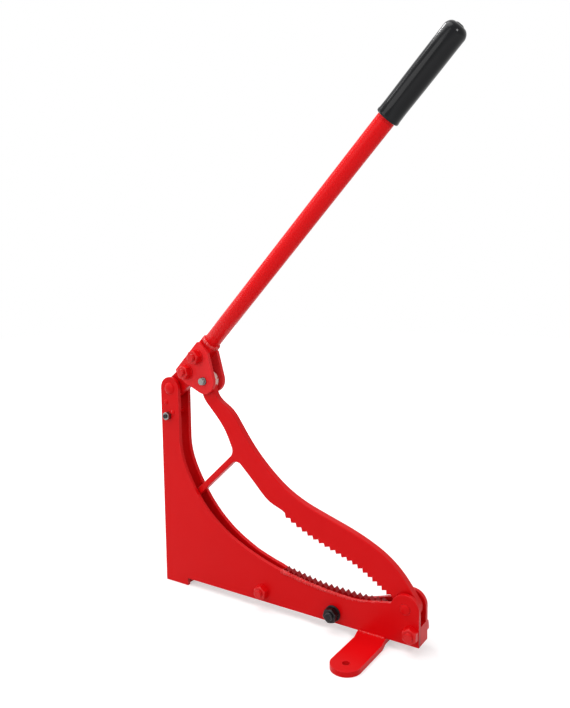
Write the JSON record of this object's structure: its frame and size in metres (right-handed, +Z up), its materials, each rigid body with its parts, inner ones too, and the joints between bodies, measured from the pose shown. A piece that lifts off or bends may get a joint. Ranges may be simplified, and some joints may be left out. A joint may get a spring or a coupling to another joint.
{
  "type": "lever nutcracker press",
  "caption": "Bench-mounted lever nutcracker: toothed upper jaw arm closing on a fixed toothed jaw between two side plates, worked by a long tube handle through a short link.",
  "frame": {"origin": "on the bench, midway between the two bench bolt holes, in the press's middle plane", "axes": "+X from the upright towards the jaw pivot, +Z up, +Y to the far side, so the nuts of the cross bolts are on -Y"},
  "size_m": [0.3297, 0.148, 0.5382],
  "materials": {
    "red_paint": "gloss red paint over steel",
    "black_oxide": "black oxide",
    "bare_zinc": "bright zinc plate",
    "grip_vinyl": "glossy dipped vinyl"
  },
  "bodies": {
    "frame": {"near_side_plate": "red_paint", "far_side_plate": "red_paint", "lower_jaw": "red_paint", "heel_block": "red_paint", "front_spacer_block": "red_paint", "bench_foot": "red_paint", "mid_spacer_sleeve": "red_paint", "rear_spacer_sleeve": "red_paint", "frame_bolts": "red_paint", "frame_nuts": "red_paint", "jaw_clamp_bolt": "black_oxide", "jaw_clamp_nut": "black_oxide", "jaw_clamp_washer": "bare_zinc", "rear_bolt": "bare_zinc", "rear_nut": "bare_zinc", "upright_rivets": "red_paint", "top_pivot_pin": "red_paint", "top_pivot_washers": "bare_zinc", "jaw_pivot_pin": "red_paint", "jaw_pivot_washers": "bare_zinc"},
    "arm": {"upper_jaw_arm": "red_paint"},
    "handle": {"near_cheek": "red_paint", "far_cheek": "red_paint", "handle_lug": "red_paint", "handle_tube": "red_paint", "weld_collar": "red_paint", "handle_grip": "grip_vinyl", "cheek_bolts": "red_paint", "cheek_nuts": "red_paint", "cheek_washers": "red_paint", "link_bolt_washers": "bare_zinc", "arm_bolt": "bare_zinc", "arm_bolt_washers": "bare_zinc"},
    "link": {"toggle_link": "red_paint"}
  },
  "joints": [
    {"name": "jaw_swing", "type": "hinge", "parent": "frame", "child": "arm", "pos_m": [0.0325, 0, 0.0405], "axis": [0, -1, 0], "range_deg": [0, 5.2]},
    {"name": "handle_swing", "type": "hinge", "parent": "arm", "child": "handle", "pos_m": [-0.19472, 0, 0.22902], "axis": [0, 1, 0], "range_deg": [0, 70]},
    {"name": "link_swing", "type": "hinge", "parent": "handle", "child": "link", "pos_m": [-0.2167, 0, 0.23749], "axis": [0, -1, 0], "range_deg": [0, 57]}
  ],
  "couplings": [
    {"joint": "jaw_swing", "follows": "handle_swing", "ratio": 0.0731},
    {"joint": "link_swing", "follows": "handle_swing", "ratio": 0.806}
  ]
}
